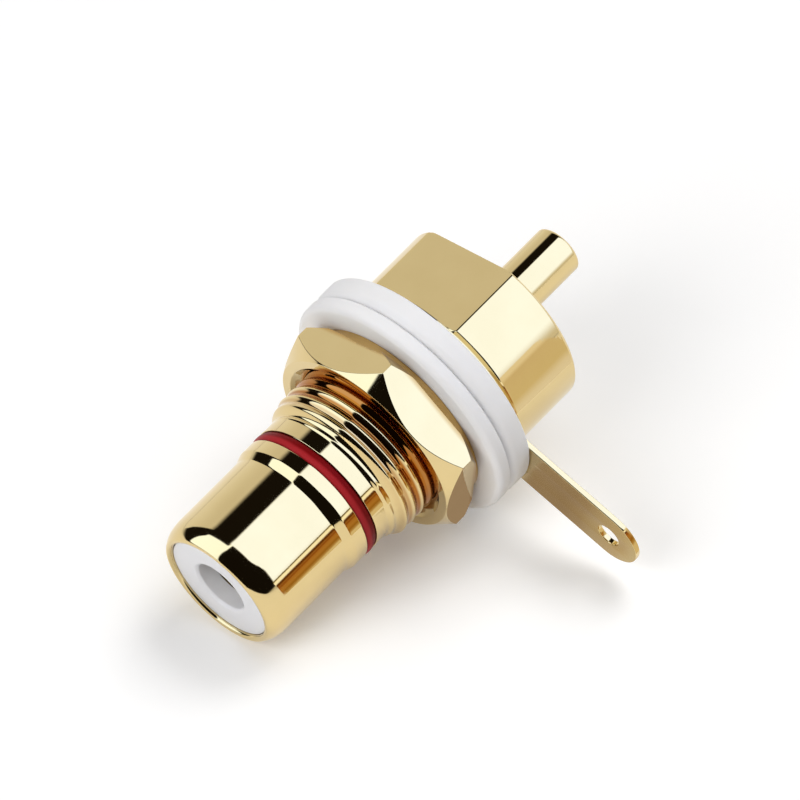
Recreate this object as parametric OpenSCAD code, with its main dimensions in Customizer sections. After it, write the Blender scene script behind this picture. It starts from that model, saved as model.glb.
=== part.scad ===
// Panel-mount phono socket: a turned and plated shell, an insulated centre contact,
// a marker ring, a chamfered hex nut, two nested insulating washers and a solder lug.
// Everything shares one axis. Pieces are drawn in a turning frame whose Z axis runs
// out of the nose, with zero at the panel plane between the washers, and then laid
// down so that the nose points to -Y.

/* [Nose] */
// Diameter that the plug's sleeve grips
nose_d = 8.3; // [8.1:0.05:8.5]
// Length of the nose, from the front of the lip back to the ramp
nose_len = 6.1; // [5:0.05:8]
// Radius of the rolled lip at the mouth
lip_round = 1.5; // [0.5:0.05:2]
// Radius of the small rounding on the inside of the lip
mouth_round = 0.2; // [0.05:0.05:0.3]
// Wall between the plug diameter and the insulator
nose_wall = 0.75; // [0.6:0.05:1]
// Radial height of the step behind the plug diameter
nose_step = 0.2; // [0.1:0.05:0.4]
// Length of the ramp up that step
ramp_len = 0.55; // [0.2:0.05:0.8]

/* [Collar and marker ring] */
// Length of the plain collar between the ramp and the thread
collar_len = 2.6; // [2.2:0.05:4]
// Width of the marker ring
ring_w = 0.8; // [0.5:0.05:1]
// Radial thickness of the marker ring
ring_thick = 0.3; // [0.2:0.05:0.4]
// Distance from the ramp to the marker ring
ring_setback = 0.85; // [0.3:0.05:1.2]

/* [Thread] */
// Radial height of the thread's crests above the collar
thread_rise = 0.525; // [0.3:0.025:0.8]
// Length from the start of the thread to the panel plane
thread_len = 6.65; // [5:0.05:12]
// Length of the tapered lead at the start of the thread
thread_lead = 0.9; // [0.5:0.05:1.2]

/* [Body] */
// Radial height of the round body above the thread
body_rise = 1.125; // [0.8:0.025:2]
// Length of the body behind the lug
body_len = 5.25; // [4:0.05:8]
// Depth of each of the two wrench flats below the round
flat_depth = 0.95; // [0.4:0.05:1.1]
// Bevel at the body's front edge
body_front_bevel = 0.45; // [0.1:0.05:0.6]
// Bevel at the body's rear edge
body_rear_bevel = 0.15; // [0.05:0.05:0.3]

/* [Hex nut] */
// Thickness of the nut
nut_thick = 2.75; // [2:0.05:4]
// Wall between the nut's bore and its flats
nut_wall = 1.075; // [0.9:0.025:2]
// Height of the round bearing face on the nut's rear
nut_face_h = 0.42; // [0.2:0.02:0.6]
// How far the bearing face is smaller than the flats, on each side
nut_face_inset = 0.1; // [0.05:0.05:0.5]
// Angle of the corner chamfer at the nut's front
nut_front_angle = 49; // [20:1:55]
// Distance from the flats to the corner chamfer at the nut's rear
nut_rear_land = 0.35; // [0:0.05:0.6]
// Angle of that chamfer
nut_rear_angle = 43; // [15:1:55]
// Width of the countersink at each end of the bore
nut_countersink = 0.5; // [0.2:0.05:0.7]
// Turn of the nut about the axis
nut_turn = 6.5; // [0:0.5:60]

/* [Insulating washers] */
// Width of each washer's rim outside the spigot
washer_rim = 1.5; // [1:0.05:3]
// Thickness of the front washer's flange
front_flange = 0.95; // [0.6:0.05:1.5]
// Thickness of the rear washer
rear_thick = 1.58; // [1.4:0.02:3]
// Wall of the front washer's spigot
spigot_wall = 0.975; // [0.6:0.025:1.5]
// Length of the spigot that passes through the panel hole
spigot_len = 1.0; // [0.7:0.05:1.2]
// Rounding of the front washer's front rim
front_rim_round = 0.4; // [0.2:0.05:0.8]
// Bevel at the front washer's rear rim
front_rim_bevel = 0.1; // [0.05:0.05:0.3]
// Rounding of the rear washer's front rim, which leaves a groove between the washers
groove_round = 0.7; // [0.1:0.05:1]
// Rounding of the rear washer's rear rim
rear_rim_round = 0.1; // [0.05:0.05:0.4]

/* [Solder lug] */
// Thickness of the lug's sheet
lug_thick = 0.35; // [0.3:0.05:0.8]
// Width of the lug's ring
lug_ring_w = 1.7; // [0.8:0.025:2]
// Width of the lug's tail
lug_tail_w = 4.0; // [3:0.1:6]
// Distance from the ring's edge to the middle of the eye
lug_tail_len = 6.6; // [5:0.1:14]
// Diameter of the eye that the wire goes through
lug_eye_d = 1.5; // [1:0.1:2]
// Fillet where the tail meets the ring
lug_fillet = 0.8; // [0.3:0.1:1.5]
// Direction of the lug about the axis
lug_turn = -29; // [-180:1:180]

/* [Centre contact] */
// Bore that takes the plug's pin
pin_bore_d = 3.24; // [3.2:0.02:3.4]
// Depth of that bore
pin_bore_depth = 9.7; // [8:0.1:10]
// Wall of the spring fingers
finger_wall = 0.58; // [0.4:0.02:0.7]
// Width of the slots between the fingers
slot_w = 0.4; // [0.2:0.05:0.6]
// Length of the slots
slot_len = 7.0; // [4:0.1:8]
// Bevel at the mouth of the contact
contact_mouth = 0.3; // [0.1:0.05:0.4]
// Thickness of the flange that stops the contact
contact_flange = 1.0; // [0.6:0.1:1.5]
// Diameter of the tail behind the body
tail_d = 3.0; // [2:0.1:3.4]
// How far the tail stands out behind the body
tail_len = 5.5; // [3:0.1:10]
// Diameter of the solder cup's bore
cup_d = 2.1; // [1.5:0.1:2.4]
// Depth of the solder cup
cup_depth = 4.0; // [2:0.1:6]

/* [Insulators] */
// Depth of the front insulator's face below the lip
face_recess = 0.25; // [0:0.05:0.6]
// Thickness of the front insulator's face
face_thick = 1.15; // [0.8:0.05:2]
// Bevel round the front insulator's hole
face_bevel = 0.15; // [0.05:0.05:0.4]
// Depth of the shell's inner shoulder behind the panel plane
shoulder_depth = 2.0; // [1:0.1:3]
// Thickness of the shell's inner shoulder
shoulder_len = 1.6; // [0.8:0.1:2]
// Wall of the front insulator's neck
neck_wall = 0.4; // [0.3:0.05:0.8]
// How far the neck stands out behind the inner shoulder
neck_stand = 0.4; // [0.2:0.05:0.8]
// Wall of the body outside the rear insulator, at the flats
rear_wall = 1.1; // [0.8:0.05:1.5]
// Depth of the rear insulator's face below the body's end
rear_recess = 0.2; // [0:0.05:0.5]

/* [Fits] */
// Radial gap of the pieces that are pressed into the shell
press_gap = 0.02; // [0.01:0.01:0.05]
// Radial gap between the nut's bore and the thread's crests
nut_gap = 0.05; // [0.02:0.01:0.08]
// Radial gap of the washers and the lug on the thread, and of the spigot in its seat
loose_gap = 0.1; // [0.05:0.01:0.3]
// Gap between faces that bear on each other
face_gap = 0.02; // [0.01:0.01:0.05]

/* [Hidden] */
$fn = 96;
over = 1;

// Radii, from the nose outwards
nose_r = nose_d / 2;
collar_r = nose_r + nose_step;
thread_r = collar_r + thread_rise;
body_r = thread_r + body_rise;
body_flat = body_r - flat_depth;
nut_bore_r = thread_r + nut_gap;
nut_flat = nut_bore_r + nut_wall;
nut_corner_r = nut_flat / cos(30);
loose_r = thread_r + loose_gap;
spigot_r = loose_r + spigot_wall;
seat_r = spigot_r + loose_gap;
washer_r = spigot_r + washer_rim;
lug_ring_r = loose_r + lug_ring_w;
lug_eye_x = lug_ring_r + lug_tail_len;

// Radii, from the contact outwards
pin_bore_r = pin_bore_d / 2;
contact_r = pin_bore_r + finger_wall;
contact_seat_r = contact_r + press_gap;
neck_r = contact_seat_r + neck_wall;
flange_r = neck_r;
tail_r = tail_d / 2;
front_bore_r = nose_r - nose_wall;
mouth_r = front_bore_r + mouth_round;
lip_lean = max(0, mouth_r - nose_r + lip_round);
rear_bore_r = body_flat - rear_wall;

// Stations along the axis, from the panel plane towards the nose
thread_start = thread_len;
ramp_back = thread_start + collar_len;
ramp_front = ramp_back + ramp_len;
nose_front = ramp_front + nose_len;
mouth_z = nose_front - mouth_round;
lip_back = mouth_z - sqrt(pow(lip_round - mouth_round, 2) - pow(lip_lean, 2));
lip_apex = lip_back + lip_round;
ring_front = ramp_back - ring_setback;
ring_back = ring_front - ring_w;
nut_back = front_flange + face_gap;
nut_front = nut_back + nut_thick;
face_front = nose_front - face_recess;
contact_front = face_front - face_thick - face_gap;

// Stations behind the panel plane
rear_washer_back = -rear_thick;
lug_front = rear_washer_back - face_gap;
lug_back = lug_front - lug_thick;
body_front = lug_back - face_gap;
body_back = body_front - body_len;
shoulder_front = -shoulder_depth;
shoulder_back = shoulder_front - shoulder_len;
neck_back = shoulder_back - neck_stand;
flange_front = neck_back - face_gap;
flange_back = flange_front - contact_flange;
bush_back = body_back + rear_recess;
tail_back = body_back - tail_len;

// Lays a piece down from the turning frame: the nose turns to -Y
module lay_down() {
    rotate([90, 0, 0])
        children();
}

// A band of a section: from one radius to another, between two stations
module band(r_in, r_out, z_back, z_front) {
    translate([r_in, z_back])
        square([r_out - r_in, z_front - z_back]);
}

// Cuts away the corner of a section outside a rounding; side is 1 for a front edge, -1 for a rear
module round_off(r_edge, z_edge, radius, side) {
    centre_z = z_edge - side * radius;
    outer_z = z_edge + side * over;
    difference() {
        band(r_edge - radius, r_edge + over, min(centre_z, outer_z), max(centre_z, outer_z));
        translate([r_edge - radius, centre_z])
            circle(radius);
    }
}

// Cuts a bevel off the corner of a section: side is 1 for a front edge and -1 for a rear one,
// and out is 1 for an outer edge and -1 for the edge of a bore
module bevel_off(r_edge, z_edge, width, side, out) {
    corner = [[-width, 0], [0, -width], [over, -width], [over, over], [-width, over]];
    polygon([for (point = corner) [r_edge + out * point[0], z_edge + side * point[1]]]);
}

// Cuts the inside of the lip to a small rounding, which runs smoothly into the lip's own
module mouth_off() {
    share = lip_lean / (lip_round - mouth_round);
    meet_r = mouth_r + mouth_round * share;
    meet_z = mouth_z + mouth_round * sqrt(1 - pow(share, 2));
    difference() {
        polygon([
            [-over, mouth_z], [mouth_r, mouth_z], [meet_r, meet_z],
            [meet_r, lip_apex + over], [-over, lip_apex + over]
        ]);
        translate([mouth_r, mouth_z])
            circle(mouth_round);
    }
}

// Turned outline of the shell, with its stepped bore. The lip's rounding is wider than the wall,
// so it is cut short of its own apex, where the inner rounding takes over.
module shell_section() {
    difference() {
        polygon([
            [0, lip_apex], [nose_r, lip_apex], [nose_r, ramp_front], [collar_r, ramp_back],
            [collar_r, thread_start], [thread_r, thread_start - thread_lead],
            [thread_r, body_front], [body_r, body_front], [body_r, body_back], [0, body_back]
        ]);
        round_off(nose_r, lip_apex, lip_round, 1);
        mouth_off();
        band(collar_r - ring_thick, collar_r + over, ring_back, ring_front);
        bevel_off(body_r, body_front, body_front_bevel, 1, 1);
        bevel_off(body_r, body_back, body_rear_bevel, -1, 1);
        band(-over, front_bore_r, shoulder_front, lip_apex + over);
        band(-over, neck_r + press_gap, shoulder_back - over, shoulder_front + over);
        band(-over, rear_bore_r, body_back - over, shoulder_back);
        bevel_off(rear_bore_r, body_back, body_rear_bevel, -1, -1);
    }
}

module connector_shell() {
    color("#e0b85c")
        lay_down()
            difference() {
                rotate_extrude()
                    shell_section();
                for (side = [0, 180])
                    rotate([0, 0, side])
                        translate([-body_r - over, body_flat, body_back - over])
                            cube([2 * (body_r + over), flat_depth + over, body_len + over + face_gap]);
            }
}

// A sleeve that fills the nose round the contact, with a thin face and a rear neck
module front_insulator() {
    outer_r = front_bore_r - press_gap;
    hole_r = pin_bore_r + press_gap;
    color("#ececee")
        lay_down()
            rotate_extrude()
                difference() {
                    union() {
                        band(0, outer_r, shoulder_front, face_front);
                        band(0, neck_r, neck_back, shoulder_front + over);
                    }
                    band(-over, contact_seat_r, neck_back - over, face_front - face_thick);
                    band(-over, hole_r, neck_back, face_front + over);
                    bevel_off(hole_r, face_front, face_bevel, 1, -1);
                }
}

// Female contact: four spring fingers in front, a stop flange, and a solder cup behind
module centre_contact() {
    bore_end = contact_front - pin_bore_depth;
    color("#e0b85c")
        lay_down()
            difference() {
                rotate_extrude()
                    difference() {
                        union() {
                            band(0, contact_r, flange_back, contact_front);
                            band(0, flange_r, flange_back, flange_front);
                            band(0, tail_r, tail_back, flange_back + over);
                        }
                        band(-over, pin_bore_r, bore_end, contact_front + over);
                        bevel_off(pin_bore_r, contact_front, contact_mouth, 1, -1);
                        band(-over, cup_d / 2, tail_back - over, tail_back + cup_depth);
                        bevel_off(tail_r, tail_back, body_rear_bevel, -1, 1);
                    }
                for (turn = [0, 90])
                    rotate([0, 0, turn])
                        translate([-contact_r - over, -slot_w / 2, contact_front - slot_len])
                            cube([2 * (contact_r + over), slot_w, slot_len + over]);
            }
}

// A bush pressed into the body's rear, which traps the contact's flange and takes the neck
module rear_insulator() {
    color("#ececee")
        lay_down()
            rotate_extrude()
                difference() {
                    band(tail_r + press_gap, rear_bore_r - press_gap, bush_back, shoulder_back);
                    band(0, flange_r + press_gap, flange_back - face_gap, shoulder_back + over);
                }
}

module marker_ring() {
    color("#a5101c")
        lay_down()
            rotate_extrude()
                band(collar_r - ring_thick + press_gap, collar_r, ring_back + press_gap, ring_front - press_gap);
}

// Everything within the nut's turned outline: the front chamfer, the rear chamfer behind
// the corners, and the round bearing face. The hexagon is cut from it.
module nut_outline() {
    rim = nut_corner_r + over;
    shoulder = nut_back + nut_face_h;
    polygon([
        [0, nut_back],
        [nut_flat - nut_face_inset, nut_back],
        [nut_flat - nut_face_inset, shoulder],
        [nut_flat + nut_rear_land, shoulder],
        [rim, shoulder + (rim - nut_flat - nut_rear_land) * tan(nut_rear_angle)],
        [rim, nut_front - (rim - nut_flat) * tan(nut_front_angle)],
        [nut_flat, nut_front],
        [0, nut_front]
    ]);
}

module hex_nut() {
    color("#e0b85c")
        lay_down()
            rotate([0, 0, nut_turn])
                intersection() {
                    translate([0, 0, nut_back - over])
                        cylinder(r = nut_corner_r, h = nut_thick + 2 * over, $fn = 6);
                    rotate_extrude()
                        difference() {
                            nut_outline();
                            band(-over, nut_bore_r, nut_back - over, nut_front + over);
                            bevel_off(nut_bore_r, nut_front, nut_countersink, 1, -1);
                            bevel_off(nut_bore_r, nut_back, nut_countersink, -1, -1);
                        }
                }
}

// Shouldered washer: its spigot passes through the panel hole into the rear washer
module front_washer() {
    color("#f2f2f3")
        lay_down()
            rotate_extrude()
                difference() {
                    union() {
                        band(loose_r, washer_r, 0, front_flange);
                        band(loose_r, spigot_r, -spigot_len, over / 2);
                    }
                    round_off(washer_r, front_flange, front_rim_round, 1);
                    bevel_off(washer_r, 0, front_rim_bevel, -1, 1);
                }
}

module rear_washer() {
    color("#f2f2f3")
        lay_down()
            rotate_extrude()
                difference() {
                    band(loose_r, washer_r, rear_washer_back, -face_gap);
                    band(0, seat_r, -spigot_len - loose_gap, over);
                    round_off(washer_r, -face_gap, groove_round, 1);
                    round_off(washer_r, rear_washer_back, rear_rim_round, -1);
                }
}

// Flat outline of the lug: ring, filleted tail, round tip and eye. The fillet circles stop
// a hair short of the ring and the tail, so that nothing meets at a point.
module lug_outline() {
    half = lug_tail_w / 2;
    blend_y = half + lug_fillet;
    blend_x = sqrt(pow(lug_ring_r + lug_fillet, 2) - pow(blend_y, 2));
    difference() {
        union() {
            circle(lug_ring_r);
            polygon([[0, 0], [blend_x, -blend_y], [blend_x, blend_y]]);
            translate([0, -half])
                square([lug_eye_x, lug_tail_w]);
            translate([lug_eye_x, 0])
                circle(half);
        }
        for (side = [1, -1])
            translate([blend_x, side * blend_y])
                circle(lug_fillet - face_gap);
        circle(loose_r);
        translate([lug_eye_x, 0])
            circle(lug_eye_d / 2);
    }
}

module solder_lug() {
    color("#d8b05a")
        lay_down()
            rotate([0, 0, lug_turn])
                translate([0, 0, lug_back])
                    linear_extrude(lug_thick)
                        lug_outline();
}

connector_shell();
front_insulator();
centre_contact();
rear_insulator();
marker_ring();
hex_nut();
front_washer();
rear_washer();
solder_lug();
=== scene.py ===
import math

import bmesh
import bpy
from mathutils import Matrix, Vector


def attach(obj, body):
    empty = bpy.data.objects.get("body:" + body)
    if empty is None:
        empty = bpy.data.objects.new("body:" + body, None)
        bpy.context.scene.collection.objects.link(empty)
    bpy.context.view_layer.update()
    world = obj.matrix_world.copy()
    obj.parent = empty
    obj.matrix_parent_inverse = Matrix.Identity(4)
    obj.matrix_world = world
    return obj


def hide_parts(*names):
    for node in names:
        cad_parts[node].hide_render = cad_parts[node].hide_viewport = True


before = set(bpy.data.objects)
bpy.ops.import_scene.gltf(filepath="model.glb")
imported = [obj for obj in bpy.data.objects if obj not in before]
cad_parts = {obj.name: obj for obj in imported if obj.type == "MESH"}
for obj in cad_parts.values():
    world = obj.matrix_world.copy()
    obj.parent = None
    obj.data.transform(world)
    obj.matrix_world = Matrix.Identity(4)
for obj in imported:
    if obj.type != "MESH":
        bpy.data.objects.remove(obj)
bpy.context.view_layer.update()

# Everything below is drawn in the turning frame of the CAD model, in millimetres: its z runs
# out of the nose and is zero at the panel plane. place() lays a point down and gives metres.
MM = 0.001


def place(x, y, z):
    return (x * MM, -z * MM, y * MM)


# Sizes of the shell, as in the CAD model
NOSE_R, COLLAR_R, CREST_R, BODY_R, FLAT = 4.15, 4.35, 4.875, 6.0, 5.05
NOSE_FRONT, LIP, MOUTH_ROUND = 15.9, 1.5, 0.2
RAMP_FRONT, RAMP_BACK = 9.80, 9.25
GROOVE_FRONT, GROOVE_BACK, GROOVE_R = 8.40, 7.60, 4.05
THREAD_START, LEAD_END = 6.65, 5.75
BODY_FRONT, BODY_BACK, BODY_BEVEL, BACK_BEVEL = -1.97, -7.22, 0.45, 0.15
MOUTH_R, SHELF_FRONT, SHELF_BACK, SHELF_R, REAR_BORE_R = 3.40, -2.0, -3.6, 2.64, 3.95

# Sizes of the nut and the washers
NUT_BACK, NUT_FRONT, NUT_FLAT, NUT_TURN = 0.97, 3.72, 6.0, 6.5
NUT_FACE_R, NUT_SHOULDER, NUT_BORE_R, NUT_SINK = 5.90, 1.39, 4.925, 0.5
NUT_REAR_LAND, NUT_REAR_ANGLE, NUT_FRONT_ANGLE = 0.35, 43, 49
WASHER_R, LOOSE_R, SPIGOT_R, SPIGOT_BACK = 7.45, 4.975, 5.95, -1.0
FLANGE, RIM_ROUND, RIM_BEVEL = 0.95, 0.4, 0.1
REAR_FRONT, REAR_BACK, GROOVE_ROUND, REAR_ROUND = -0.02, -1.58, 0.7, 0.1
SEAT_R, SEAT_BACK = 6.05, -1.1

# Sizes of the insulators, the contact and the lug
FACE_R, FACE_FRONT, FACE_BACK, HOLE_R, HOLE_BEVEL = 3.38, 15.65, 14.50, 1.64, 0.15
SLEEVE_R, NECK_R, NECK_BACK = 2.22, 2.62, -4.0
BUSH_R, BUSH_BACK, BUSH_HOLE_R, BUSH_SEAT = 3.93, -7.02, 1.52, -5.04
CONTACT_R, CONTACT_FRONT, CONTACT_MOUTH, PIN_R, PIN_END = 2.2, 14.48, 0.3, 1.62, 4.78
STOP_R, STOP_FRONT, STOP_BACK = 2.62, -4.02, -5.02
TAIL_R, TAIL_BACK, TAIL_BEVEL, CUP_R, CUP_FRONT = 1.5, -12.72, 0.15, 1.05, -8.72
SLOT_W, SLOT_LEN = 0.4, 7.0
LUG_FRONT, LUG_BACK, LUG_RING_R, LUG_EYE_X, LUG_EYE_R = -1.60, -1.95, 6.675, 13.275, 0.75
LUG_HALF, LUG_FILLET, LUG_TURN = 2.0, 0.8, -29.0

# Finer sizes, which only the visual model has: the thread, the lip's wider arc, the crowned
# ring, and the small radii of the edges at the flats, at the nut's corners and round the lug
PITCH, THREAD_DEPTH, THREAD_PHASE, NUT_THREAD_GAP = 0.70, 0.16, 0.735, 0.035
LIP_EASE, LIP_EASE_TURN = 3.3, 13.0
RING_FRONT, RING_BACK, RING_BED_R, RING_CROWN_R, RING_CURVE = 8.38, 7.62, 4.07, 4.37, 0.77
RING_SPAN = math.degrees(math.asin((RING_FRONT - RING_BACK) / 2 / RING_CURVE))
FLAT_EDGE, NUT_EDGE, LUG_EDGE = 0.012, 0.015, 0.045

# Fineness of the meshes: columns about the axis, rows along the threads, the turn in degrees
# from which an edge shades sharp, and the distance in metres within which points are joined
FINE_COLUMNS, COLUMNS, CONTACT_COLUMNS = 180, 160, 96
THREAD_ROWS, NUT_ROWS = 232, 84
SHARP, LUG_SHARP = 38.0, 50.0
WELD, LUG_WELD = 1e-8, 2e-7


# Mesh builders. A softened corner has its support points 1.6 widths away, and its middle point
# is drawn in by 0.29 of a width.
SUPPORT, CORNER = 1.6, 0.29


def soften(outline):
    """Rounds the corners of a closed outline of (r, z, width) points, with a support point on
    either side. A width of 0 leaves the point as it is."""
    out = []
    for i, (r, z, width) in enumerate(outline):
        if width <= 0:
            out.append((r, z))
            continue
        here = Vector((r, z))
        before = (Vector(outline[i - 1][:2]) - here).normalized()
        after = (Vector(outline[(i + 1) % len(outline)][:2]) - here).normalized()
        far = width * SUPPORT
        middle = (before + after) * (width * CORNER)
        for step in (before * far, before * width, middle, after * width, after * far):
            out.append(tuple(here + step))
    return out


def arc(r0, z0, radius, start, end, steps):
    """Points of an arc round (r0, z0), by angle from the outward radius towards the nose."""
    out = []
    for i in range(steps + 1):
        a = math.radians(start + (end - start) * i / steps)
        out.append((r0 + radius * math.cos(a), z0 + radius * math.sin(a), 0))
    return out


def smooth(t):
    t = min(1.0, max(0.0, t))
    return t * t * (3 - 2 * t)


def soft_min(low, high, width):
    """The lower of two radii, rounded where they cross."""
    return low - width * math.log(1 + math.exp(-(high - low) / width))


def angles(count, extra=()):
    """Angles about the axis, in radians: even ones, and the extra ones given in degrees, with no
    even one close beside an extra one."""
    least = 360.0 / count * 0.4
    even = [360.0 * i / count for i in range(count)]
    kept = [a for a in even if all(abs((a - e + 180) % 360 - 180) > least for e in extra)]
    return [math.radians(a) for a in sorted(kept + [e % 360 for e in extra])]


def add(name, data):
    """A new object in the scene."""
    thing = bpy.data.objects.new(name, data)
    bpy.context.scene.collection.objects.link(thing)
    return thing


def mesh_from(name, bm):
    mesh = bpy.data.meshes.new(name)
    bm.to_mesh(mesh)
    bm.free()
    return mesh


def evaluated_mesh(thing):
    """A copy of the mesh that an object's curve or modifiers give."""
    bpy.context.view_layer.update()
    return bpy.data.meshes.new_from_object(thing.evaluated_get(bpy.context.evaluated_depsgraph_get()))


def shade(mesh, sharp=SHARP):
    mesh.shade_smooth()
    mesh.set_sharp_from_angle(angle=math.radians(sharp))


def finish_mesh(name, bm, sharp=SHARP):
    bmesh.ops.remove_doubles(bm, verts=bm.verts, dist=WELD)
    bmesh.ops.recalc_face_normals(bm, faces=bm.faces)
    mesh = mesh_from(name, bm)
    shade(mesh, sharp)
    return add(name, mesh)


def turned(name, profile_at, phis, poles=False):
    """A piece turned about the axis. profile_at(phi) gives its outline as (r, z) points, always
    the same number. With poles the outline runs from axis to axis, otherwise it is a loop."""
    bm = bmesh.new()
    columns = []
    for phi in phis:
        c, s = math.cos(phi), math.sin(phi)
        columns.append([(r * c, r * s, z) for r, z in profile_at(phi)])
    rows = len(columns[0])
    ends = {}
    if poles:
        ends = {i: bm.verts.new(place(*columns[0][i])) for i in (0, rows - 1)}
    verts = []
    for column in columns:
        verts.append([ends.get(i) or bm.verts.new(place(*p)) for i, p in enumerate(column)])
    for a, b in zip(verts, verts[1:] + verts[:1]):
        for i in range(rows - 1 if poles else rows):
            k = (i + 1) % rows
            corners = list(dict.fromkeys((a[i], a[k], b[k], b[i])))
            if len(corners) > 2:
                bm.faces.new(corners)
    return finish_mesh(name, bm)


def thread_r(z, phi, gap=0.0, crest=CREST_R, depth=THREAD_DEPTH):
    """Radius of the right-hand thread's surface, a plated and so rounded wave."""
    u = z / PITCH - phi / (2 * math.pi) + THREAD_PHASE
    return crest - depth * (0.5 - 0.5 * math.cos(2 * math.pi * u)) + gap


def flat_r(r, phi):
    """Radius of the body's section: a circle with two wrench flats."""
    s = abs(math.sin(phi))
    far_from_flats = s < 0.5
    if far_from_flats or r < FLAT:
        return r
    low, high = sorted((r, FLAT / s))
    return soft_min(low, high, FLAT_EDGE)


def edge_angles(r):
    """Angles in degrees close about the four edges of the flats, at a radius."""
    base = math.degrees(math.asin(FLAT / r))
    out = []
    for middle in (base, 180 - base, 180 + base, 360 - base):
        out += [middle + d for d in (-2.4, -1.2, -0.7, -0.35, 0, 0.35, 0.7, 1.2, 2.4)]
    return out


# The shell. The lip's rounding starts with a wider arc, so that the nose runs into it gently.
LIP_IN = (LIP_EASE - LIP) * (1 - math.cos(math.radians(LIP_EASE_TURN)))
LIP_SHIFT = MOUTH_R + MOUTH_ROUND - NOSE_R + LIP + LIP_IN
LIP_BACK = NOSE_FRONT - MOUTH_ROUND - math.sqrt((LIP - MOUTH_ROUND) ** 2 - LIP_SHIFT ** 2)
EASE_BACK = LIP_BACK - (LIP_EASE - LIP) * math.sin(math.radians(LIP_EASE_TURN))
# extra rows of points just inside the mouth and halfway along the nose
MOUTH_DEPTH, NOSE_ROW = 0.6, 12.4
# the thread is no deeper than LEAD_DEPTH times the lead's height
THREAD_MARGIN, LEAD_DEPTH, FADE_START, FADE_LEN = 0.06, 1.1, 0.6, 0.3


def barrel(phi):
    """The thread and its lead. It grows out of the collar, and fades out short of the body."""
    out = [(COLLAR_R, THREAD_START + 2 * THREAD_MARGIN, 0)]
    top, bottom = THREAD_START + THREAD_MARGIN, BODY_FRONT + THREAD_MARGIN
    for i in range(THREAD_ROWS + 1):
        z = top + (bottom - top) * i / THREAD_ROWS
        crest = COLLAR_R + (CREST_R - COLLAR_R) * (THREAD_START - z) / (THREAD_START - LEAD_END)
        crest = min(CREST_R, max(COLLAR_R, crest))
        depth = min(THREAD_DEPTH, LEAD_DEPTH * (crest - COLLAR_R))
        r = thread_r(z, phi, 0.0, crest, depth)
        r += (CREST_R - r) * smooth((BODY_FRONT + FADE_START - z) / FADE_LEN)
        out.append((r, z, 0))
    return out + [(CREST_R, BODY_FRONT, 0)]


def shell_profile(phi):
    meet = math.degrees(math.acos(LIP_SHIFT / (LIP - MOUTH_ROUND)))
    pts = [(MOUTH_R, NOSE_FRONT - MOUTH_DEPTH, 0)]
    pts += arc(MOUTH_R + MOUTH_ROUND, NOSE_FRONT - MOUTH_ROUND, MOUTH_ROUND, 180, meet, 14)
    pts += arc(NOSE_R - LIP - LIP_IN, LIP_BACK, LIP, meet, LIP_EASE_TURN, 24)[1:]
    pts += arc(NOSE_R - LIP_EASE, EASE_BACK, LIP_EASE, LIP_EASE_TURN, 0, 14)[1:]
    pts += [
        (NOSE_R, EASE_BACK - 0.05, 0), (NOSE_R, NOSE_ROW, 0),
        (NOSE_R, RAMP_FRONT, 0.05), (COLLAR_R, RAMP_BACK, 0.05),
        (COLLAR_R, GROOVE_FRONT, 0.03), (GROOVE_R, GROOVE_FRONT, 0.02),
        (GROOVE_R, GROOVE_BACK, 0.02), (COLLAR_R, GROOVE_BACK, 0.03)]
    pts += barrel(phi)
    pts += [
        (BODY_R - BODY_BEVEL, BODY_FRONT, 0.04), (BODY_R, BODY_FRONT - BODY_BEVEL, 0.05),
        (BODY_R, BODY_BACK + BACK_BEVEL, 0.04), (BODY_R - BACK_BEVEL, BODY_BACK, 0.03),
        (REAR_BORE_R + BACK_BEVEL, BODY_BACK, 0.03), (REAR_BORE_R, BODY_BACK + BACK_BEVEL, 0.03),
        (REAR_BORE_R, SHELF_BACK, 0.03), (SHELF_R, SHELF_BACK, 0.03),
        (SHELF_R, SHELF_FRONT, 0.03), (MOUTH_R, SHELF_FRONT, 0.03)]
    return [(flat_r(r, phi) if r > CREST_R + 0.02 else r, z) for r, z in soften(pts)]


# distance from a plane in metres, and area in square metres
IN_PLANE, REAR_FACE_AREA = 1e-7, 2e-8


def shade_face_flat(piece, z, least_area):
    """Marks the border of the wide faces in the plane at z as sharp, so that they shade flat."""
    border = set()
    for face in piece.data.polygons:
        if abs(face.center.y + z * MM) < IN_PLANE and face.area > least_area:
            border ^= set(face.edge_keys)
    for edge in piece.data.edges:
        if edge.key in border:
            edge.use_edge_sharp = True


shell = turned("shell", shell_profile,
               angles(FINE_COLUMNS, edge_angles(BODY_R) + edge_angles(BODY_R - BODY_BEVEL)))
shade_face_flat(shell, BODY_BACK, REAR_FACE_AREA)

# The nut. Its bore has the same thread as the barrel, a little wider. Only the flats within
# FACE_REACH, in radians, can bound a direction.
NUT_EASE, HEX_LEAST, NUT_THREAD_INSET, FACE_REACH = 0.03, 0.0005, 0.1, 1.3


def hex_r(phi):
    """Radius of the hexagon."""
    reach = []
    for k in range(6):
        turn = (phi - math.radians(NUT_TURN + 30 + 60 * k) + math.pi) % (2 * math.pi) - math.pi
        if abs(turn) < FACE_REACH:
            reach.append(NUT_FLAT / math.cos(turn))
    reach.sort()
    return soft_min(reach[0], reach[1], NUT_EDGE)


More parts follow.
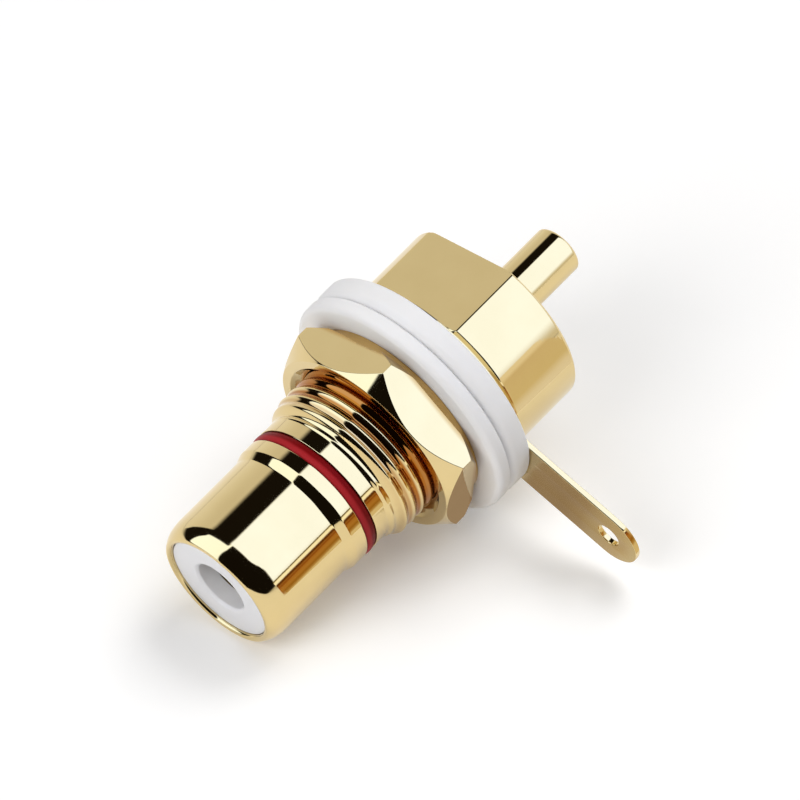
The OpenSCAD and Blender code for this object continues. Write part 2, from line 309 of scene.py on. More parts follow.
def nut_profile(phi):
    r_hex = max(hex_r(phi), NUT_FLAT + HEX_LEAST)
    land = NUT_FLAT + NUT_REAR_LAND
    low = NUT_SHOULDER + max(0.0, r_hex - land) * math.tan(math.radians(NUT_REAR_ANGLE))
    high = NUT_FRONT - (r_hex - NUT_FLAT + NUT_EASE) * math.tan(math.radians(NUT_FRONT_ANGLE))
    sink_r = NUT_BORE_R + NUT_SINK
    pts = [
        (sink_r, NUT_BACK, 0.03), (NUT_FACE_R, NUT_BACK, 0.03), (NUT_FACE_R, NUT_SHOULDER, 0.02),
        (min(r_hex, land) - NUT_EASE, NUT_SHOULDER, 0.008), (r_hex, low + 0.02, 0.015),
        (r_hex, high, 0.02), (NUT_FLAT - NUT_EASE, NUT_FRONT, 0.015), (sink_r, NUT_FRONT, 0.03)]
    top, bottom = NUT_FRONT - NUT_THREAD_INSET, NUT_BACK + NUT_THREAD_INSET
    for i in range(NUT_ROWS + 1):
        z = top + (bottom - top) * i / NUT_ROWS
        cone = max(sink_r - (NUT_FRONT - z), sink_r - (z - NUT_BACK))
        pts.append((max(cone, thread_r(z, phi, NUT_THREAD_GAP)), z, 0))
    return soften(pts)


nut_corners = []
for k in range(6):
    nut_corners += [NUT_TURN + 60 * k + d for d in (-2.0, -1.0, -0.5, 0, 0.5, 1.0, 2.0)]
    nut_corners += [NUT_TURN + 30 + 60 * k]
nut = turned("nut_body", nut_profile, angles(FINE_COLUMNS, nut_corners))


# Washers, insulators, ring and contact
def plain(name, outline, poles=False, count=COLUMNS):
    soft = soften(outline)
    return turned(name, lambda phi: soft, angles(count), poles)


washer_front = plain(
    "washer_front",
    [(LOOSE_R, SPIGOT_BACK, 0.05), (SPIGOT_R, SPIGOT_BACK, 0.08), (SPIGOT_R, 0.0, 0.02),
     (WASHER_R - RIM_BEVEL, 0.0, 0.02), (WASHER_R, RIM_BEVEL, 0.02), (WASHER_R, 0.3, 0)]
    + arc(WASHER_R - RIM_ROUND, FLANGE - RIM_ROUND, RIM_ROUND, 0, 90, 14)
    + [(WASHER_R - RIM_ROUND - 0.12, FLANGE, 0), (LOOSE_R, FLANGE, 0.06)])
washer_rear = plain(
    "washer_rear",
    [(LOOSE_R, REAR_BACK, 0.05), (WASHER_R - 0.3, REAR_BACK, 0)]
    + arc(WASHER_R - REAR_ROUND, REAR_BACK + REAR_ROUND, REAR_ROUND, -90, 0, 6)
    + [(WASHER_R, REAR_BACK + REAR_ROUND + 0.1, 0)]
    + arc(WASHER_R - GROOVE_ROUND, REAR_FRONT - GROOVE_ROUND, GROOVE_ROUND, 0, 90, 16)
    + [(WASHER_R - GROOVE_ROUND - 0.12, REAR_FRONT, 0), (SEAT_R, REAR_FRONT, 0.05),
       (SEAT_R, SEAT_BACK, 0.03), (LOOSE_R, SEAT_BACK, 0.05)])
insulator = plain("insulator_front", [
    (SLEEVE_R, NECK_BACK, 0.03), (NECK_R, NECK_BACK, 0.04), (NECK_R, SHELF_FRONT, 0.02),
    (FACE_R, SHELF_FRONT, 0.04), (FACE_R, FACE_FRONT, 0.04),
    (HOLE_R + HOLE_BEVEL, FACE_FRONT, 0.05), (HOLE_R, FACE_FRONT - HOLE_BEVEL, 0.04),
    (HOLE_R, FACE_BACK, 0.02), (SLEEVE_R, FACE_BACK, 0.02)])
bush = plain("insulator_rear", [
    (BUSH_HOLE_R, BUSH_BACK, 0.05), (BUSH_R, BUSH_BACK, 0.05), (BUSH_R, SHELF_BACK, 0.03),
    (SHELF_R, SHELF_BACK, 0.02), (SHELF_R, BUSH_SEAT, 0.02), (BUSH_HOLE_R, BUSH_SEAT, 0.02)])
ring = plain(
    "ring_red",
    [(RING_BED_R, RING_BACK, 0.02)]
    + arc(RING_CROWN_R - RING_CURVE, (RING_FRONT + RING_BACK) / 2, RING_CURVE, -RING_SPAN, RING_SPAN, 16)
    + [(RING_BED_R, RING_FRONT, 0.02)])
contact = plain("contact", [
    (0, PIN_END, 0), (PIN_R, PIN_END, 0.03), (PIN_R, CONTACT_FRONT - CONTACT_MOUTH, 0.02),
    (PIN_R + CONTACT_MOUTH, CONTACT_FRONT, 0.03), (CONTACT_R, CONTACT_FRONT, 0.05),
    (CONTACT_R, STOP_FRONT, 0.02), (STOP_R, STOP_FRONT, 0.04), (STOP_R, STOP_BACK, 0.04),
    (TAIL_R, STOP_BACK, 0.03), (TAIL_R, TAIL_BACK + TAIL_BEVEL, 0.06),
    (TAIL_R - TAIL_BEVEL, TAIL_BACK, 0.05), (CUP_R, TAIL_BACK, 0.03), (CUP_R, CUP_FRONT, 0.03),
    (0, CUP_FRONT, 0)], poles=True, count=CONTACT_COLUMNS)

# The contact's slots, cut by a block that reaches through both walls and past the front end
BLOCK_ACROSS, BLOCK_LEN = 6.4, 8.0


def slot_cutter(turn):
    bm = bmesh.new()
    bmesh.ops.create_cube(bm, size=1)
    c, s = math.cos(turn), math.sin(turn)
    middle = CONTACT_FRONT - SLOT_LEN + BLOCK_LEN / 2
    for v in bm.verts:
        x, y, z = v.co.x * BLOCK_ACROSS, v.co.y * SLOT_W, v.co.z * BLOCK_LEN + middle
        v.co = Vector(place(x * c - y * s, x * s + y * c, z))
    bmesh.ops.recalc_face_normals(bm, faces=bm.faces)
    return add("slot", mesh_from("slot", bm))


for turn in (0.0, math.pi / 2):
    cutter = slot_cutter(turn)
    cut = contact.modifiers.new("slot", "BOOLEAN")
    cut.operation, cut.object, cut.solver = "DIFFERENCE", cutter, "EXACT"
    slotted = evaluated_mesh(contact)
    contact.modifiers.clear()
    contact.data = slotted
    bpy.data.objects.remove(cutter)
shade(contact.data)


# The lug
def lug_loops():
    """The lug's outline, and its two holes, in its own plane with the tail along x."""
    blend_y = LUG_HALF + LUG_FILLET
    blend_x = math.sqrt((LUG_RING_R + LUG_FILLET) ** 2 - blend_y ** 2)
    lean = math.degrees(math.atan2(blend_y, blend_x))
    outline = []
    for x0, y0, radius, start, end, steps in (
            (LUG_EYE_X, 0, LUG_HALF, -90, 90, 40),
            (blend_x, blend_y, LUG_FILLET, -90, lean - 180, 10),
            (0, 0, LUG_RING_R, lean, 360 - lean, 120),
            (blend_x, -blend_y, LUG_FILLET, 180 - lean, 90, 10)):
        outline += [(x, y) for x, y, _ in arc(x0, y0, radius, start, end, steps)]
    loops = [outline]
    for x0, radius, steps in ((0, LOOSE_R, 112), (LUG_EYE_X, LUG_EYE_R, 40)):
        turns = [2 * math.pi * i / steps for i in range(steps)]
        loops.append([(x0 + radius * math.cos(a), radius * math.sin(a)) for a in turns])
    return loops


def lug_mesh():
    curve = bpy.data.curves.new("lug", "CURVE")
    curve.dimensions, curve.fill_mode = "2D", "BOTH"
    for loop in lug_loops():
        spline = curve.splines.new("POLY")
        spline.points.add(len(loop) - 1)
        for point, (x, y) in zip(spline.points, loop):
            point.co = (x, y, 0, 1)
        spline.use_cyclic_u = True
    curve.extrude = (LUG_FRONT - LUG_BACK) / 2 - LUG_EDGE
    curve.bevel_depth, curve.bevel_resolution, curve.offset = LUG_EDGE, 2, -LUG_EDGE
    holder = add("lug_curve", curve)
    sheet = evaluated_mesh(holder)
    bpy.data.objects.remove(holder)
    bm = bmesh.new()
    bm.from_mesh(sheet)
    c, s = math.cos(math.radians(LUG_TURN)), math.sin(math.radians(LUG_TURN))
    middle = (LUG_FRONT + LUG_BACK) / 2
    for v in bm.verts:
        x, y, z = v.co
        v.co = Vector(place(x * c - y * s, x * s + y * c, z + middle))
    bmesh.ops.remove_doubles(bm, verts=bm.verts, dist=LUG_WELD)
    return finish_mesh("lug_plate", bm, LUG_SHARP)


lug = lug_mesh()


# Node helpers. They take a material's nodes and links, and most give an output socket back.
def new_material(name):
    m = bpy.data.materials.new(name)
    m.use_nodes = True
    nodes = m.node_tree.nodes
    return m, nodes, m.node_tree.links, nodes["Principled BSDF"]


def new_glow(name):
    """A material that only gives off light: its surface is linked by the caller."""
    m, nodes, links, shader = new_material(name)
    nodes.remove(shader)
    return m, nodes, links, nodes["Material Output"].inputs["Surface"]


def node(nodes, kind, inputs=None, **settings):
    """A new node. inputs gives values for its sockets, and settings its own properties."""
    n = nodes.new(kind)
    for key, value in settings.items():
        setattr(n, key, value)
    for key, value in (inputs or {}).items():
        n.inputs[key].default_value = value
    return n


def maths(nodes, links, operation, *values, clamp=False):
    n = node(nodes, "ShaderNodeMath", operation=operation, use_clamp=clamp)
    for socket, value in zip(n.inputs, values):
        if isinstance(value, (int, float)):
            socket.default_value = value
        else:
            links.new(value, socket)
    return n.outputs[0]


def rise(nodes, links, value, start, end):
    """0 before start, 1 after end, and smooth between. start may be the larger of the two."""
    n = node(nodes, "ShaderNodeMapRange", {"From Min": start, "From Max": end},
             interpolation_type="SMOOTHSTEP")
    links.new(value, n.inputs["Value"])
    return n.outputs["Result"]


def ramp(nodes, links, value, stops):
    n = nodes.new("ShaderNodeValToRGB")
    while len(n.color_ramp.elements) < len(stops):
        n.color_ramp.elements.new(0.5)
    for element, (position, colour) in zip(n.color_ramp.elements, stops):
        element.position = position
        element.color = (*colour, 1)
    links.new(value, n.inputs["Fac"])
    return n.outputs["Color"]


def blend(nodes, links, share, first, second):
    """Mixes two shaders."""
    n = nodes.new("ShaderNodeMixShader")
    for socket, value in zip(n.inputs, (share, first, second)):
        links.new(value, socket)
    return n.outputs[0]


def own_place(nodes, links):
    """The object's own coordinates, as sockets by the names X, Y and Z."""
    where = nodes.new("ShaderNodeTexCoord")
    parts = nodes.new("ShaderNodeSeparateXYZ")
    links.new(where.outputs["Object"], parts.inputs[0])
    return parts.outputs


def axis_distance(nodes, links, parts):
    """Distance from the axis, in metres."""
    square = maths(nodes, links, "MULTIPLY", parts["X"], parts["X"])
    total = maths(nodes, links, "MULTIPLY_ADD", parts["Z"], parts["Z"], square)
    return maths(nodes, links, "SQRT", total)


def axis_place(nodes, links):
    """Radius and station along the axis, both in millimetres as in the CAD model."""
    parts = own_place(nodes, links)
    radius = maths(nodes, links, "MULTIPLY", axis_distance(nodes, links, parts), 1 / MM)
    return radius, maths(nodes, links, "MULTIPLY", parts["Y"], -1 / MM)


def solid_noise(nodes, links, scale, detail, place_at=None):
    noise = node(nodes, "ShaderNodeTexNoise", {"Scale": scale, "Detail": detail})
    links.new(place_at or nodes.new("ShaderNodeTexCoord").outputs["Object"], noise.inputs["Vector"])
    return noise.outputs["Fac"]


def axis_marks(nodes, links, scale, detail):
    """Noise that runs round the axis like the marks of a lathe tool: it changes along y and with
    the radius, and hardly at all round the axis."""
    parts = own_place(nodes, links)
    joined = nodes.new("ShaderNodeCombineXYZ")
    links.new(axis_distance(nodes, links, parts), joined.inputs["X"])
    links.new(parts["Y"], joined.inputs["Y"])
    return solid_noise(nodes, links, scale, detail, joined.outputs[0])


def bump(nodes, links, height, strength, distance, base=None):
    n = node(nodes, "ShaderNodeBump", {"Strength": strength, "Distance": distance})
    links.new(height, n.inputs["Height"])
    if base is not None:
        links.new(base, n.inputs["Normal"])
    return n.outputs["Normal"]


def between(nodes, links, value, low, high):
    n = node(nodes, "ShaderNodeMapRange", {"To Min": low, "To Max": high})
    links.new(value, n.inputs["Value"])
    return n.outputs["Result"]


# Materials of the socket. marks and grain are the strengths of the two bumps.
def gold(name, light, dark, rough, marks, grain):
    m, nodes, links, shader = new_material(name)
    shader.inputs["Metallic"].default_value = 1.0
    tone = ramp(nodes, links, solid_noise(nodes, links, 420, 3), [(0.35, dark), (0.65, light)])
    links.new(tone, shader.inputs["Base Color"])
    spread = between(nodes, links, axis_marks(nodes, links, 2600, 2), *rough)
    links.new(spread, shader.inputs["Roughness"])
    turned_marks = bump(nodes, links, axis_marks(nodes, links, 5200, 2), marks, 0.00002)
    fine = bump(nodes, links, solid_noise(nodes, links, 1500, 2), grain, 0.00004, turned_marks)
    links.new(fine, shader.inputs["Normal"])
    return m


def white(name, light, dark, rough, marks, grain, inner):
    m, nodes, links, shader = new_material(name)
    tone = ramp(nodes, links, solid_noise(nodes, links, 300, 4), [(0.3, dark), (0.7, light)])
    links.new(tone, shader.inputs["Base Color"])
    shader.inputs["Subsurface Weight"].default_value = inner
    shader.inputs["Subsurface Radius"].default_value = (0.6, 0.55, 0.5)
    shader.inputs["Subsurface Scale"].default_value = 0.001
    spread = between(nodes, links, solid_noise(nodes, links, 1800, 3), *rough)
    links.new(spread, shader.inputs["Roughness"])
    turned_marks = bump(nodes, links, axis_marks(nodes, links, 3200, 2), marks, 0.00003)
    fine = bump(nodes, links, solid_noise(nodes, links, 900, 4), grain, 0.0001, turned_marks)
    links.new(fine, shader.inputs["Normal"])
    return m


def paint_shade_into(finish, colour, amount):
    """Paints shade into a finish as a colour mixed into it. amount(nodes, links, radius, station) says how
    much.
    """
    nodes, links = finish.node_tree.nodes, finish.node_tree.links
    base = nodes["Principled BSDF"].inputs["Base Color"]
    mix = node(nodes, "ShaderNodeMix", data_type="RGBA")
    links.new(amount(nodes, links, *axis_place(nodes, links)), mix.inputs["Factor"])
    links.new(base.links[0].from_socket, mix.inputs["A"])
    mix.inputs["B"].default_value = (*colour, 1)
    links.new(mix.outputs["Result"], base)
    return finish


def thread_painted_shade(nodes, links, radius, station):
    """Painted shade, deep in the thread's root and over the last turns in front of the nut."""
    deep, onward = rise(nodes, links, radius, 4.85, 4.76), rise(nodes, links, station, 6.3, 4.5)
    root = maths(nodes, links, "MULTIPLY", deep, onward)
    last = maths(nodes, links, "MULTIPLY", rise(nodes, links, station, 4.42, 4.28), 0.9)
    most = maths(nodes, links, "MAXIMUM", root, last)
    return maths(nodes, links, "MULTIPLY", most, rise(nodes, links, station, 0.0, 0.5))


def nut_painted_shade(nodes, links, radius, station):
    """Painted shade, on the chamfer and the bearing face at the nut's rear."""
    return maths(nodes, links, "MULTIPLY", rise(nodes, links, station, 1.75, 1.45), 0.7)


def enamel_painted_light(name):
    """The ring's red: a painted highlight in a band nearer the nose, painted shade towards the tail and at
    both edges.
    """
    m, nodes, links, shader = new_material(name)
    _, station = axis_place(nodes, links)
    along = node(nodes, "ShaderNodeMapRange", {"From Min": RING_BACK, "From Max": RING_FRONT}, clamp=False)
    links.new(station, along.inputs["Value"])
    uneven = maths(nodes, links, "MULTIPLY_ADD", solid_noise(nodes, links, 500, 3), 0.16, -0.08)
    # painted highlight where the tone is lightest, and painted shade at both edges and towards the tail
    tone = ramp(nodes, links, maths(nodes, links, "ADD", along.outputs["Result"], uneven), [
        (0.00, (0.10, 0.001, 0.001)), (0.12, (0.17, 0.001, 0.002)), (0.40, (0.18, 0.001, 0.002)),
        (0.60, (0.36, 0.016, 0.020)), (0.84, (0.38, 0.020, 0.024)), (0.97, (0.20, 0.004, 0.005))])
    links.new(tone, shader.inputs["Base Color"])
    shader.inputs["Roughness"].default_value = 0.45
    shader.inputs["Specular IOR Level"].default_value = 0.08
    links.new(bump(nodes, links, axis_marks(nodes, links, 4000, 2), 0.1, 0.00003), shader.inputs["Normal"])
    return m


GOLD = (0.74, 0.58, 0.285), (0.72, 0.56, 0.27), (0.035, 0.07), 0.05, 0.03
SHEET = (0.70, 0.56, 0.28), (0.67, 0.53, 0.265), (0.14, 0.22), 0.0, 0.05
NYLON = (0.88, 0.875, 0.875), (0.85, 0.845, 0.845), (0.5, 0.62), 0.10, 0.1, 0.2
PTFE = (0.82, 0.82, 0.84), (0.79, 0.79, 0.81), (0.3, 0.42), 0.1, 0.05, 0.1
# painted shade colours: amber on the thread before the nut, brown at the nut's rear
THREAD_SHADE_AMBER, NUT_SHADE_BROWN = (0.38, 0.13, 0.015), (0.50, 0.28, 0.07)
gold_turned = gold("gold_turned", *GOLD)
# the shell's gold has shade painted onto the thread before the nut
gold_shell = paint_shade_into(gold("gold_shell", *GOLD), THREAD_SHADE_AMBER, thread_painted_shade)
# the nut's gold has shade painted onto its rear
gold_nut = paint_shade_into(gold("gold_nut", *GOLD), NUT_SHADE_BROWN, nut_painted_shade)
gold_sheet = gold("gold_sheet", *SHEET)
nylon = white("nylon_white", *NYLON)
ptfe = white("ptfe_white", *PTFE)
red = enamel_painted_light("ring_enamel")

for piece, cad_node, body, finish, slot in (
        (shell, "connector_shell", "socket", gold_shell, "gold_plate"),
        (insulator, "front_insulator", "socket", ptfe, "white_ptfe"),
        (contact, "centre_contact", "socket", gold_turned, "gold_plate"),
        (bush, "rear_insulator", "socket", ptfe, "white_ptfe"),
        (ring, "marker_ring", "socket", red, "red_ring"),
        (nut, "hex_nut", "nut", gold_nut, "gold_plate"),
        (washer_front, "front_washer", "clamp_washer", nylon, "white_nylon"),
        (washer_rear, "rear_washer", "socket", nylon, "white_nylon"),
        (lug, "solder_lug", "lug", gold_sheet, "gold_plate")):
    piece.data.materials.clear()
    piece.data.materials.append(finish)
    if piece is lug:
        # the cut edges are polished like the turned pieces
        piece.data.materials.append(gold_turned)
        for face in piece.data.polygons:
            face.material_index = int(abs(face.normal.y) < 0.5)
    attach(piece, body)
    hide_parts(cad_node)

# Camera
# The photograph's view: NOSE points out of the nose, V is square to it and leans towards the
# camera, U is square to both and points to the lower right of the picture.
NOSE = Vector((0, -1, 0))
LEAN = math.radians(50)
V = Vector((math.cos(LEAN), 0, math.sin(LEAN)))
U = Vector((math.sin(LEAN), 0, -math.cos(LEAN)))
TILT = 0.363
flat_on = math.sqrt(1 - TILT ** 2)
half = math.sqrt(0.5)
back = (TILT * NOSE + flat_on * V).normalized()
along = (flat_on * NOSE - TILT * V).normalized()
right = (-half * along + half * U).normalized()
up = back.cross(right).normalized()
right = up.cross(back).normalized()

# The frame is 0.044 m wide at the socket, and the origin lies at this pixel of the photograph.
DISTANCE, FRAME_WIDTH, SENSOR = 0.500, 0.0440, 36.0
PIXELS, ORIGIN_X, ORIGIN_Y = 800, 408.9, 398.6
pixel = FRAME_WIDTH / PIXELS
aim = -right * (ORIGIN_X - PIXELS / 2) * pixel - up * (PIXELS / 2 - ORIGIN_Y) * pixel
camera_data = bpy.data.cameras.new("camera")
camera_data.sensor_width = SENSOR
camera_data.lens = SENSOR * DISTANCE / FRAME_WIDTH
camera_data.clip_start, camera_data.clip_end = 0.01, 10
camera = add("camera", camera_data)
camera.matrix_world = Matrix.Translation(aim + back * DISTANCE) @ Matrix((
    (right.x, up.x, back.x, 0), (right.y, up.y, back.y, 0), (right.z, up.z, back.z, 0), (0, 0, 0, 1)))
bpy.context.scene.camera = camera

# Floor
# The socket lies on its lip and on the rim of the front washer. The floor is the plane that
# touches both roundings below the axis.
FLOOR_SPIN, FLOOR_HALF, FLOOR_GAP, FLOOR_LIFT = 31.5, 0.5, 0.00002, 0.18
spin = math.radians(FLOOR_SPIN)
low = (math.cos(spin) * V - math.sin(spin) * U).normalized()
lip_r, rim_z, rim_r = NOSE_R - LIP - LIP_IN, FLANGE - RIM_ROUND, WASHER_R - RIM_ROUND
slope = math.atan2(rim_r - lip_r, LIP_BACK - rim_z)
slope += math.asin((RIM_ROUND - LIP) / math.hypot(rim_r - lip_r, LIP_BACK - rim_z))
floor_up = (math.cos(slope) * low - math.sin(slope) * NOSE).normalized()
depth = (math.sin(slope) * LIP_BACK + math.cos(slope) * lip_r + LIP) * MM
floor_nose = (NOSE - floor_up * NOSE.dot(floor_up)).normalized()
floor_side = floor_up.cross(floor_nose)


def seen_rays(nodes, links):
    """1 for camera, glossy and transmission rays, which are shown the white background."""
    path = nodes.new("ShaderNodeLightPath").outputs
    first = maths(nodes, links, "ADD", path["Is Camera Ray"], path["Is Glossy Ray"], clamp=True)
    return maths(nodes, links, "ADD", first, path["Is Transmission Ray"], clamp=True)


def floor_material():
    m, nodes, links, shader = new_material("floor")
    tone = ramp(nodes, links, solid_noise(nodes, links, 30, 2), [
        (0.3, (0.90, 0.90, 0.90)), (0.7, (0.92, 0.92, 0.92))])
    links.new(tone, shader.inputs["Base Color"])
    shader.inputs["Roughness"].default_value = 0.9
    shader.inputs["Specular IOR Level"].default_value = 0.0
    glow = node(nodes, "ShaderNodeEmission", {"Color": (1, 1, 1, 1)})
    lift = maths(nodes, links, "MULTIPLY", seen_rays(nodes, links), FLOOR_LIFT)
    links.new(lift, glow.inputs["Strength"])
    lit = nodes.new("ShaderNodeAddShader")
    links.new(shader.outputs[0], lit.inputs[0])
    links.new(glow.outputs[0], lit.inputs[1])
    # from below the floor is clear, so that a low view still shows the socket
    below = nodes.new("ShaderNodeNewGeometry").outputs["Backfacing"]
    clear = nodes.new("ShaderNodeBsdfTransparent").outputs[0]
    surface = nodes["Material Output"].inputs["Surface"]
    links.new(blend(nodes, links, below, lit.outputs[0], clear), surface)
    return m


bm = bmesh.new()
bmesh.ops.create_grid(bm, x_segments=8, y_segments=8, size=FLOOR_HALF)
floor = add("floor", mesh_from("floor", bm))
floor_turn = floor_up.to_track_quat("Z", "Y").to_matrix().to_4x4()
floor.matrix_world = Matrix.Translation(-floor_up * (depth + FLOOR_GAP)) @ floor_turn
floor.data.materials.append(floor_material())

# World: a plain room light, and white where the background is seen
world = bpy.data.worlds.new("world")
bpy.context.scene.world = world
world.use_nodes = True
nodes, links = world.node_tree.nodes, world.node_tree.links
room = nodes["Background"]
room.inputs["Color"].default_value = (1.0, 0.985, 0.985, 1)
room.inputs["Strength"].default_value = 0.235
backdrop = node(nodes, "ShaderNodeBackground", {"Color": (1, 1, 1, 1), "Strength": 1.0})
links.new(blend(nodes, links, seen_rays(nodes, links), room.outputs[0], backdrop.outputs[0]),
          nodes["World Output"].inputs["Surface"])


def seen_in_gloss_only(thing):
    """Hides an object from the camera, from diffuse and transmission rays and from shadows, so that only
    polished surfaces see it.
    """
    thing.visible_camera = thing.visible_diffuse = False
    thing.visible_transmission = thing.visible_shadow = False


# Light tent
# A studio tent that only polished surfaces see: a soft wall, two soft boxes and the black flags
# between them. Directions are given by turn (about the socket's axis, from V towards U, in
# degrees) and reach (how far the direction leans to the nose, from -1 to 1). Each border is a
# pair of values between which one thing gives way to the next.
TENT_R = 0.9
MAIN_LEFT, MAIN_RIGHT, WALL_END = (-37, -33), (46, 62), (-128, -82)
LEFT_FLAG, FRONT_FLAG = (-79, -69), (57, 61)
SOFT = (-0.02, 0.02)
# the borders of the front soft box are planes with these normals
BOX_RIGHT = -0.513 * V - 0.835 * U - 0.198 * NOSE
BOX_TOP = -0.684 * V - 0.209 * U - 0.6985 * NOSE
BOX_FAR = -0.871 * V + 0.4176 * U + 0.2566 * NOSE
FLAG_TONE = (1.0, 0.8, 0.6)


def tent_material():
    m, nodes, links, surface = new_glow("tent")

    def step(value, border):
        return rise(nodes, links, value, *border)

    def both(*values):
        out = values[0]
        for value in values[1:]:
            out = maths(nodes, links, "MULTIPLY", out, value)
        return out

    def inverse(value):
        return maths(nodes, links, "SUBTRACT", 1.0, value)

    unit = node(nodes, "ShaderNodeVectorMath", operation="NORMALIZE")
    links.new(nodes.new("ShaderNodeTexCoord").outputs["Object"], unit.inputs[0])

    def lean(direction):
        n = node(nodes, "ShaderNodeVectorMath", {1: direction}, operation="DOT_PRODUCT")
        links.new(unit.outputs[0], n.inputs[0])
        return n.outputs["Value"]

    reach = lean(NOSE)
    turn = maths(nodes, links, "DEGREES", maths(nodes, links, "ARCTAN2", lean(U), lean(V)))

    # the main soft box ends in front at a reach that falls as the turn grows
    before = maths(nodes, links, "ADD", reach, 0.12)
    past = maths(nodes, links, "MULTIPLY_ADD", step(turn, (0, 32)), 0.17, before)
    main_box = both(step(turn, MAIN_LEFT), inverse(step(turn, MAIN_RIGHT)), inverse(step(past, SOFT)))
    # the front soft box is a sheet with straight edges, and the left flag reaches round it
    right_edge, top_edge, far_edge = lean(BOX_RIGHT), lean(BOX_TOP), lean(BOX_FAR)
    near_edge = maths(nodes, links, "MULTIPLY_ADD", step(turn, MAIN_LEFT), 0.10, reach)
    front_box = both(step(right_edge, SOFT), inverse(step(top_edge, SOFT)),
                     inverse(step(far_edge, SOFT)), step(near_edge, (-0.05, 0.0)))
    flag_turn = maths(nodes, links, "MULTIPLY_ADD", step(reach, (-0.22, -0.05)), 45, turn)
    dark_left = both(step(flag_turn, LEFT_FLAG), inverse(step(turn, MAIN_LEFT)),
                     inverse(step(far_edge, (0.11, 0.15))))
    dark_front = both(inverse(step(right_edge, SOFT)), inverse(step(turn, FRONT_FLAG)), step(past, SOFT))

    # each layer lies over the one before
    out = node(nodes, "ShaderNodeEmission", {"Color": (1.0, 0.99, 0.97, 1), "Strength": 0.80}).outputs[0]
    for share, colour, strength in (
            (inverse(step(turn, WALL_END)), (0.97, 0.98, 1.0), 1.0),
            (dark_left, FLAG_TONE, 0.01),
            (front_box, (0.62, 0.74, 1.0), 2.3),
            (main_box, (0.53, 0.645, 1.0), 2.6),
            (dark_front, FLAG_TONE, 0.008)):
        glow = node(nodes, "ShaderNodeEmission", {"Color": (*colour, 1), "Strength": strength})
        out = blend(nodes, links, share, out, glow.outputs[0])
    links.new(out, surface)
    return m


bm = bmesh.new()
bmesh.ops.create_icosphere(bm, subdivisions=4, radius=TENT_R)
bmesh.ops.reverse_faces(bm, faces=bm.faces)
tent = add("tent", mesh_from("tent", bm))
tent.data.materials.append(tent_material())
seen_in_gloss_only(tent)


def add_card(name, finish, corner, edge_x, edge_y, facing):
    """A card that only polished surfaces see. Its own x and y run from 0 to 1 along its edges."""
    bm = bmesh.new()
    bmesh.ops.create_grid(bm, x_segments=4, y_segments=4, size=0.5)
    bmesh.ops.translate(bm, verts=bm.verts, vec=(0.5, 0.5, 0))
    card = add(name, mesh_from(name, bm))
    card.data.materials.append(finish)
    columns = [v * MM for v in (edge_x, edge_y, facing, corner)]
    card.matrix_world = Matrix([[v[row] for v in columns] for row in range(3)] + [[0, 0, 0, 1]])
    seen_in_gloss_only(card)


# Amber card
# A small card low beside the nose. It is amber towards the nose and paler towards the tail, with
# a bright strip and a dark seam along its top.
CARD_U, CARD_LOW, CARD_HIGH, CARD_TAIL, CARD_NOSE = 18.0, -1.5, 16.4, -13.2, 8.8
CARD_BORDER, CARD_STRENGTH = (0.28, 0.42), 1.45


def card_material():
    m, nodes, links, surface = new_glow("card")
    parts = own_place(nodes, links)
    deep = ramp(nodes, links, parts["Y"], [
        (0.330, (0.59, 0.51, 0.36)), (0.374, (0.39, 0.25, 0.09)), (0.441, (0.27, 0.125, 0.016)),
        (0.520, (0.366, 0.179, 0.039)), (0.600, (0.34, 0.15, 0.03)), (0.646, (0.215, 0.063, 0.004)),
        (0.685, (0.305, 0.127, 0.03)), (0.730, (0.106, 0.033, 0.0)), (0.785, (0.106, 0.033, 0.0)),
        (0.830, (0.92, 0.95, 0.97)), (0.925, (0.92, 0.95, 0.97)), (0.950, (0.16, 0.13, 0.05))])
    pale = ramp(nodes, links, parts["Y"], [
        (0.04, (0.67, 0.66, 0.68)), (0.18, (0.65, 0.63, 0.63)), (0.34, (0.563, 0.503, 0.363)),
        (0.80, (0.55, 0.48, 0.36)), (0.90, (0.70, 0.66, 0.60))])
    mix = node(nodes, "ShaderNodeMix", data_type="RGBA")
    links.new(rise(nodes, links, parts["X"], *CARD_BORDER), mix.inputs["Factor"])
    links.new(pale, mix.inputs["A"])
    links.new(deep, mix.inputs["B"])
    glow = node(nodes, "ShaderNodeEmission", {"Strength": CARD_STRENGTH})
    links.new(mix.outputs["Result"], glow.inputs["Color"])
    links.new(glow.outputs[0], surface)
    return m


add_card("card", card_material(), U * CARD_U + V * CARD_LOW + NOSE * CARD_TAIL,
         NOSE * (CARD_NOSE - CARD_TAIL), V * (CARD_HIGH - CARD_LOW), U)

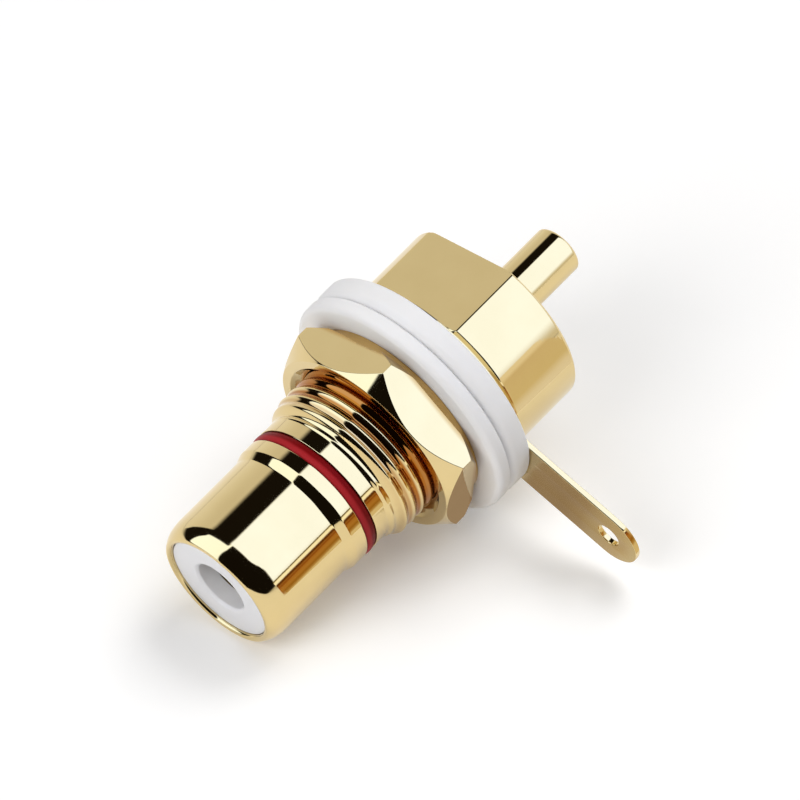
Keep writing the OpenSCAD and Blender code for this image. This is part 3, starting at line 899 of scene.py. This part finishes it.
# Shade card
# The nut's lower faces and the lug look down into the socket's own shadow, which is deeper in
# the photograph than the lamps make it. This card lies just above the floor there, brown by
# the washers and paler away from the axis, and it fades out at its edges.
SHADE_TAIL, SHADE_NOSE, SHADE_NEAR, SHADE_FAR, SHADE_LIFT = -5.0, 1.5, 3.8, 15.0, 0.3


def shade_material():
    m, nodes, links, surface = new_glow("shade")
    parts = own_place(nodes, links)
    x, y = parts["X"], parts["Y"]
    tone = ramp(nodes, links, y, [
        (0.33, (0.38, 0.295, 0.225)), (0.46, (0.44, 0.35, 0.27)), (0.55, (0.54, 0.46, 0.37)),
        (0.73, (0.64, 0.54, 0.42)), (0.82, (0.74, 0.68, 0.58))])
    share = 1.0
    for value, start, end in ((x, 0.0, 0.15), (x, 1.0, 0.85), (y, 0.0, 0.08), (y, 1.0, 0.88)):
        share = maths(nodes, links, "MULTIPLY", share, rise(nodes, links, value, start, end))
    glow = nodes.new("ShaderNodeEmission")
    links.new(tone, glow.inputs["Color"])
    clear = nodes.new("ShaderNodeBsdfTransparent").outputs[0]
    links.new(blend(nodes, links, share, clear, glow.outputs[0]), surface)
    return m


add_card("shade", shade_material(),
         floor_nose * SHADE_TAIL + floor_side * SHADE_NEAR - floor_up * (depth / MM - SHADE_LIFT),
         floor_nose * (SHADE_NOSE - SHADE_TAIL), floor_side * (SHADE_FAR - SHADE_NEAR), floor_up)

# Lamps: each one's name, degrees above the floor, degrees round from the nose's side, and watts
LAMP_AWAY, LAMP_SIZE, LAMP_COLOUR = 0.42, 0.25, (1.0, 0.995, 0.99)
for name, height, round_floor, power in (
        ("front", 35, 0, 0.87), ("key", 62, 180, 0.75), ("side", 62, 120, 0.26)):
    h, r = math.radians(height), math.radians(round_floor)
    level = floor_nose * math.cos(r) + floor_side * math.sin(r)
    data = bpy.data.lights.new(name, "AREA")
    data.shape, data.size, data.energy, data.color = "SQUARE", LAMP_SIZE, power, LAMP_COLOUR
    light = add(name, data)
    light.location = (floor_up * math.sin(h) + level * math.cos(h)) * LAMP_AWAY
    light.rotation_mode = "QUATERNION"
    light.rotation_quaternion = light.location.to_track_quat("Z", "Y")
    light.visible_glossy = light.visible_camera = False

# Picture settings
bpy.context.scene.view_settings.view_transform = "Standard"
